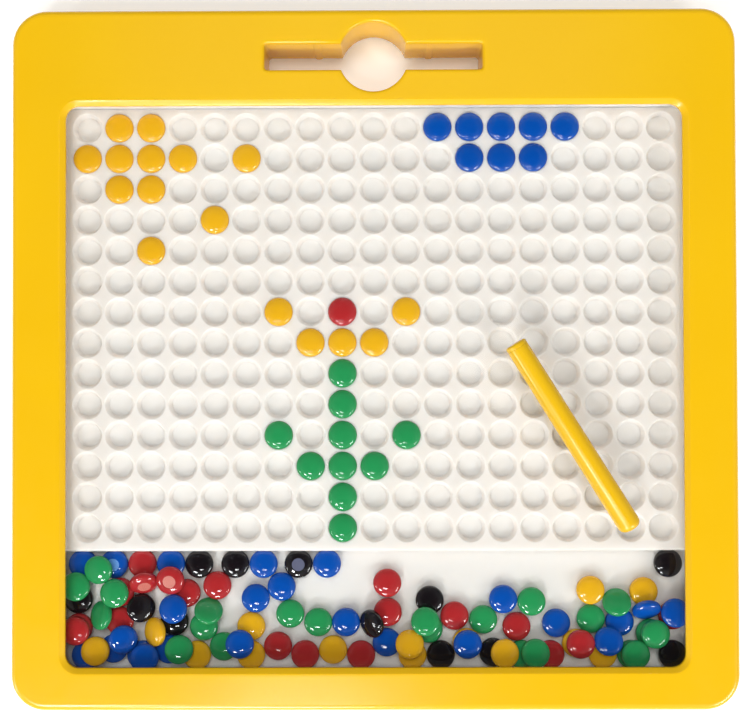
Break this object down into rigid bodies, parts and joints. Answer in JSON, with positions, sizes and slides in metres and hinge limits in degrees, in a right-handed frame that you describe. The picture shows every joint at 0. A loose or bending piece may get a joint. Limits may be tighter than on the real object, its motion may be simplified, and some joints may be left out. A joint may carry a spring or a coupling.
{
  "type": "magnetic disc drawing board",
  "caption": "Framed tray of round cups under a clear window, with coloured discs that a magnetic pen lifts from a reservoir into the cups; pen slot and finger hole in the top bar.",
  "frame": {"origin": "centre of the flat back face, which is the middle of the bounding box at its lowest point", "axes": "+X to the right across the board, +Y up the board towards the pen slot, +Z out of the window"},
  "size_m": [0.29, 0.28, 0.026],
  "materials": {
    "frame_plastic": "smooth moulded ABS, glossy",
    "pen_plastic": "smooth moulded ABS, glossy",
    "window_plastic": "clear polystyrene sheet, polished",
    "tray_plastic": "white moulded polystyrene, satin gloss",
    "magnet_metal": "nickel plated magnet",
    "screw_steel": "zinc plated steel",
    "disc_yellow": "moulded shell round a steel core, glossy",
    "disc_blue": "moulded shell round a steel core, glossy",
    "disc_red": "moulded shell round a steel core, glossy",
    "disc_green": "moulded shell round a steel core, glossy"
  },
  "bodies": {
    "board": {"front_frame": "frame_plastic", "rear_cover": "frame_plastic", "window": "window_plastic", "disc_tray": "tray_plastic", "screw_bottom_left": "screw_steel", "screw_bottom_right": "screw_steel", "screw_lower_left": "screw_steel", "screw_lower_right": "screw_steel", "screw_side_left": "screw_steel", "screw_side_right": "screw_steel", "screw_top_left": "screw_steel", "screw_top_right": "screw_steel", "screw_upper_left": "screw_steel", "screw_upper_right": "screw_steel"},
    "pen": {"pen_barrel": "pen_plastic", "pen_end_plug": "pen_plastic", "pen_magnet": "magnet_metal"},
    "disc_blue_r01_c12": {"disc_blue_r01_c12": "disc_blue"},
    "disc_blue_r01_c13": {"disc_blue_r01_c13": "disc_blue"},
    "disc_blue_r01_c14": {"disc_blue_r01_c14": "disc_blue"},
    "disc_blue_r01_c15": {"disc_blue_r01_c15": "disc_blue"},
    "disc_blue_r01_c16": {"disc_blue_r01_c16": "disc_blue"},
    "disc_blue_r02_c13": {"disc_blue_r02_c13": "disc_blue"},
    "disc_blue_r02_c14": {"disc_blue_r02_c14": "disc_blue"},
    "disc_blue_r02_c15": {"disc_blue_r02_c15": "disc_blue"},
    "disc_green_r09_c09": {"disc_green_r09_c09": "disc_green"},
    "disc_green_r10_c09": {"disc_green_r10_c09": "disc_green"},
    "disc_green_r11_c07": {"disc_green_r11_c07": "disc_green"},
    "disc_green_r11_c09": {"disc_green_r11_c09": "disc_green"},
    "disc_green_r11_c11": {"disc_green_r11_c11": "disc_green"},
    "disc_green_r12_c08": {"disc_green_r12_c08": "disc_green"},
    "disc_green_r12_c09": {"disc_green_r12_c09": "disc_green"},
    "disc_green_r12_c10": {"disc_green_r12_c10": "disc_green"},
    "disc_green_r13_c09": {"disc_green_r13_c09": "disc_green"},
    "disc_green_r14_c09": {"disc_green_r14_c09": "disc_green"},
    "disc_red_r07_c09": {"disc_red_r07_c09": "disc_red"},
    "disc_yellow_r01_c02": {"disc_yellow_r01_c02": "disc_yellow"},
    "disc_yellow_r01_c03": {"disc_yellow_r01_c03": "disc_yellow"},
    "disc_yellow_r02_c01": {"disc_yellow_r02_c01": "disc_yellow"},
    "disc_yellow_r02_c02": {"disc_yellow_r02_c02": "disc_yellow"},
    "disc_yellow_r02_c03": {"disc_yellow_r02_c03": "disc_yellow"},
    "disc_yellow_r02_c04": {"disc_yellow_r02_c04": "disc_yellow"},
    "disc_yellow_r02_c06": {"disc_yellow_r02_c06": "disc_yellow"},
    "disc_yellow_r03_c02": {"disc_yellow_r03_c02": "disc_yellow"},
    "disc_yellow_r03_c03": {"disc_yellow_r03_c03": "disc_yellow"},
    "disc_yellow_r04_c05": {"disc_yellow_r04_c05": "disc_yellow"},
    "disc_yellow_r05_c03": {"disc_yellow_r05_c03": "disc_yellow"},
    "disc_yellow_r07_c07": {"disc_yellow_r07_c07": "disc_yellow"},
    "disc_yellow_r07_c11": {"disc_yellow_r07_c11": "disc_yellow"},
    "disc_yellow_r08_c08": {"disc_yellow_r08_c08": "disc_yellow"},
    "disc_yellow_r08_c09": {"disc_yellow_r08_c09": "disc_yellow"},
    "disc_yellow_r08_c10": {"disc_yellow_r08_c10": "disc_yellow"}
  },
  "joints": [
    {"name": "pen_lift", "type": "slide", "parent": "board", "child": "pen", "axis": [0, 0, 1], "range_m": [0, 0.06]},
    {"name": "lift_blue_r01_c12", "type": "slide", "parent": "board", "child": "disc_blue_r01_c12", "axis": [0, 0, 1], "range_m": [0, 0.003]},
    {"name": "lift_blue_r01_c13", "type": "slide", "parent": "board", "child": "disc_blue_r01_c13", "axis": [0, 0, 1], "range_m": [0, 0.003]},
    {"name": "lift_blue_r01_c14", "type": "slide", "parent": "board", "child": "disc_blue_r01_c14", "axis": [0, 0, 1], "range_m": [0, 0.003]},
    {"name": "lift_blue_r01_c15", "type": "slide", "parent": "board", "child": "disc_blue_r01_c15", "axis": [0, 0, 1], "range_m": [0, 0.003]},
    {"name": "lift_blue_r01_c16", "type": "slide", "parent": "board", "child": "disc_blue_r01_c16", "axis": [0, 0, 1], "range_m": [0, 0.003]},
    {"name": "lift_blue_r02_c13", "type": "slide", "parent": "board", "child": "disc_blue_r02_c13", "axis": [0, 0, 1], "range_m": [0, 0.003]},
    {"name": "lift_blue_r02_c14", "type": "slide", "parent": "board", "child": "disc_blue_r02_c14", "axis": [0, 0, 1], "range_m": [0, 0.003]},
    {"name": "lift_blue_r02_c15", "type": "slide", "parent": "board", "child": "disc_blue_r02_c15", "axis": [0, 0, 1], "range_m": [0, 0.003]},
    {"name": "lift_green_r09_c09", "type": "slide", "parent": "board", "child": "disc_green_r09_c09", "axis": [0, 0, 1], "range_m": [0, 0.003]},
    {"name": "lift_green_r10_c09", "type": "slide", "parent": "board", "child": "disc_green_r10_c09", "axis": [0, 0, 1], "range_m": [0, 0.003]},
    {"name": "lift_green_r11_c07", "type": "slide", "parent": "board", "child": "disc_green_r11_c07", "axis": [0, 0, 1], "range_m": [0, 0.003]},
    {"name": "lift_green_r11_c09", "type": "slide", "parent": "board", "child": "disc_green_r11_c09", "axis": [0, 0, 1], "range_m": [0, 0.003]},
    {"name": "lift_green_r11_c11", "type": "slide", "parent": "board", "child": "disc_green_r11_c11", "axis": [0, 0, 1], "range_m": [0, 0.003]},
    {"name": "lift_green_r12_c08", "type": "slide", "parent": "board", "child": "disc_green_r12_c08", "axis": [0, 0, 1], "range_m": [0, 0.003]},
    {"name": "lift_green_r12_c09", "type": "slide", "parent": "board", "child": "disc_green_r12_c09", "axis": [0, 0, 1], "range_m": [0, 0.003]},
    {"name": "lift_green_r12_c10", "type": "slide", "parent": "board", "child": "disc_green_r12_c10", "axis": [0, 0, 1], "range_m": [0, 0.003]},
    {"name": "lift_green_r13_c09", "type": "slide", "parent": "board", "child": "disc_green_r13_c09", "axis": [0, 0, 1], "range_m": [0, 0.003]},
    {"name": "lift_green_r14_c09", "type": "slide", "parent": "board", "child": "disc_green_r14_c09", "axis": [0, 0, 1], "range_m": [0, 0.003]},
    {"name": "lift_red_r07_c09", "type": "slide", "parent": "board", "child": "disc_red_r07_c09", "axis": [0, 0, 1], "range_m": [0, 0.003]},
    {"name": "lift_yellow_r01_c02", "type": "slide", "parent": "board", "child": "disc_yellow_r01_c02", "axis": [0, 0, 1], "range_m": [0, 0.003]},
    {"name": "lift_yellow_r01_c03", "type": "slide", "parent": "board", "child": "disc_yellow_r01_c03", "axis": [0, 0, 1], "range_m": [0, 0.003]},
    {"name": "lift_yellow_r02_c01", "type": "slide", "parent": "board", "child": "disc_yellow_r02_c01", "axis": [0, 0, 1], "range_m": [0, 0.003]},
    {"name": "lift_yellow_r02_c02", "type": "slide", "parent": "board", "child": "disc_yellow_r02_c02", "axis": [0, 0, 1], "range_m": [0, 0.003]},
    {"name": "lift_yellow_r02_c03", "type": "slide", "parent": "board", "child": "disc_yellow_r02_c03", "axis": [0, 0, 1], "range_m": [0, 0.003]},
    {"name": "lift_yellow_r02_c04", "type": "slide", "parent": "board", "child": "disc_yellow_r02_c04", "axis": [0, 0, 1], "range_m": [0, 0.003]},
    {"name": "lift_yellow_r02_c06", "type": "slide", "parent": "board", "child": "disc_yellow_r02_c06", "axis": [0, 0, 1], "range_m": [0, 0.003]},
    {"name": "lift_yellow_r03_c02", "type": "slide", "parent": "board", "child": "disc_yellow_r03_c02", "axis": [0, 0, 1], "range_m": [0, 0.003]},
    {"name": "lift_yellow_r03_c03", "type": "slide", "parent": "board", "child": "disc_yellow_r03_c03", "axis": [0, 0, 1], "range_m": [0, 0.003]},
    {"name": "lift_yellow_r04_c05", "type": "slide", "parent": "board", "child": "disc_yellow_r04_c05", "axis": [0, 0, 1], "range_m": [0, 0.003]},
    {"name": "lift_yellow_r05_c03", "type": "slide", "parent": "board", "child": "disc_yellow_r05_c03", "axis": [0, 0, 1], "range_m": [0, 0.003]},
    {"name": "lift_yellow_r07_c07", "type": "slide", "parent": "board", "child": "disc_yellow_r07_c07", "axis": [0, 0, 1], "range_m": [0, 0.003]},
    {"name": "lift_yellow_r07_c11", "type": "slide", "parent": "board", "child": "disc_yellow_r07_c11", "axis": [0, 0, 1], "range_m": [0, 0.003]},
    {"name": "lift_yellow_r08_c08", "type": "slide", "parent": "board", "child": "disc_yellow_r08_c08", "axis": [0, 0, 1], "range_m": [0, 0.003]},
    {"name": "lift_yellow_r08_c09", "type": "slide", "parent": "board", "child": "disc_yellow_r08_c09", "axis": [0, 0, 1], "range_m": [0, 0.003]},
    {"name": "lift_yellow_r08_c10", "type": "slide", "parent": "board", "child": "disc_yellow_r08_c10", "axis": [0, 0, 1], "range_m": [0, 0.003]}
  ]
}
